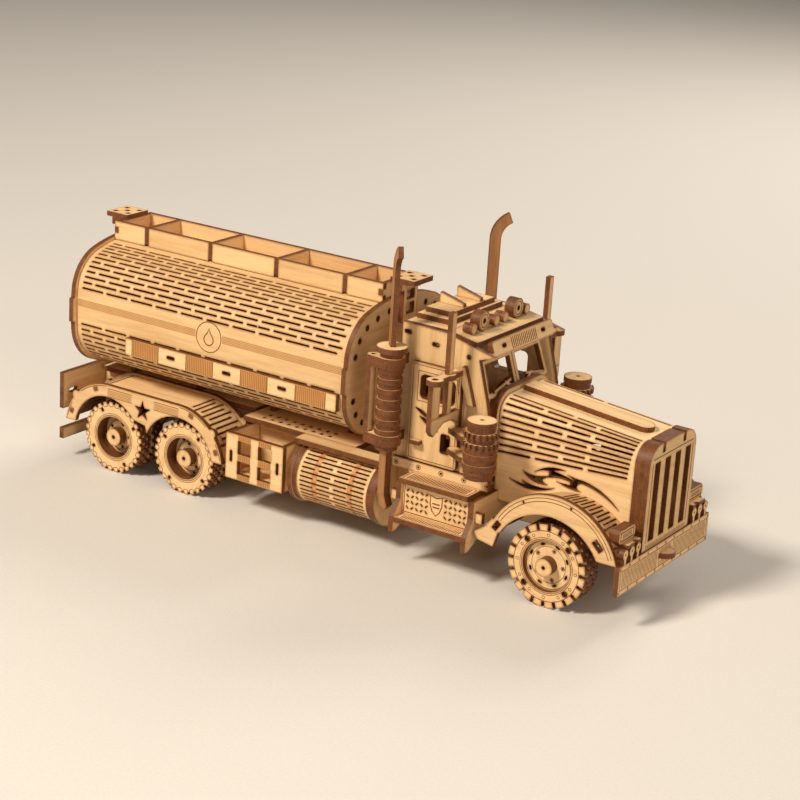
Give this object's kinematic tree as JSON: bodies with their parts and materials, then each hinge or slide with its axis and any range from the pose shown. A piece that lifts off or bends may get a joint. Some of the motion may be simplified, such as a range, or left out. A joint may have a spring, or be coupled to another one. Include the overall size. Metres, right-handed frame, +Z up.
{
  "type": "tanker truck wooden model",
  "caption": "Laser-cut plywood puzzle model of a tanker truck with an oval tank, open cab, pierced hood and wheels that turn on dowels",
  "frame": {"origin": "centre of the footprint, on the ground the wheels stand on", "axes": "+X forward along the truck, +Y to the truck's left, +Z up"},
  "size_m": [0.2688, 0.0948, 0.1229],
  "materials": {
    "flat_ply": "raw birch plywood, faces pale, laser-burnt edges dark brown",
    "bent_ply": "raw birch plywood bent over rows of laser-cut slots",
    "dowel_wood": "raw hardwood dowel"
  },
  "bodies": {
    "truck": {"air_cleaners": "flat_ply", "bumper": "flat_ply", "cab_doors": "flat_ply", "cab_fittings": "flat_ply", "cab_floor": "flat_ply", "cab_front": "flat_ply", "cab_rear": "flat_ply", "cab_roof": "flat_ply", "cab_sides": "flat_ply", "cab_trim": "flat_ply", "chassis_rails": "flat_ply", "cross_members": "flat_ply", "deck_plates": "flat_ply", "drum_discs": "flat_ply", "drum_skins": "bent_ply", "exhaust_pipes": "flat_ply", "front_fender_plates": "flat_ply", "front_fender_skins": "bent_ply", "grille_frames": "flat_ply", "grille_plate": "flat_ply", "headlamps": "flat_ply", "hood_formers": "flat_ply", "hood_skin": "bent_ply", "hood_strip": "flat_ply", "mirror_brackets": "flat_ply", "mirror_plates": "flat_ply", "mirror_sticks": "flat_ply", "muffler_brackets": "flat_ply", "mufflers": "flat_ply", "rack_boxes": "flat_ply", "rack_fronts": "flat_ply", "rear_fender_plates": "flat_ply", "rear_fender_skins": "bent_ply", "roof_boards": "flat_ply", "roof_lamps": "flat_ply", "signal_posts": "flat_ply", "step_brackets": "flat_ply", "step_panels": "flat_ply", "step_treads": "flat_ply", "sun_visor": "flat_ply", "tail_boards": "flat_ply", "tank_formers": "flat_ply", "tank_front_disc": "flat_ply", "tank_rear_disc": "flat_ply", "tank_side_panels": "flat_ply", "tank_skin": "bent_ply", "tow_hook": "flat_ply", "walkway_landings": "flat_ply", "walkway_rails": "flat_ply", "walkway_walls": "flat_ply", "windshields": "flat_ply"},
    "front_wheels": {"front_axle_dowel": "dowel_wood", "front_tyre_plies": "flat_ply", "front_wheel_rims": "flat_ply"},
    "middle_wheels": {"middle_axle_dowel": "dowel_wood", "middle_tyre_plies": "flat_ply", "middle_wheel_rims": "flat_ply"},
    "rear_wheels": {"rear_axle_dowel": "dowel_wood", "rear_tyre_plies": "flat_ply", "rear_wheel_rims": "flat_ply"}
  },
  "joints": [
    {"name": "front_axle_turn", "type": "hinge", "parent": "truck", "child": "front_wheels", "pos_m": [0.1, 0, 0.016], "axis": [0, 1, 0], "continuous": true},
    {"name": "middle_axle_turn", "type": "hinge", "parent": "truck", "child": "middle_wheels", "pos_m": [-0.0682, 0, 0.015], "axis": [0, 1, 0], "continuous": true},
    {"name": "rear_axle_turn", "type": "hinge", "parent": "truck", "child": "rear_wheels", "pos_m": [-0.1054, 0, 0.015], "axis": [0, 1, 0], "continuous": true}
  ]
}
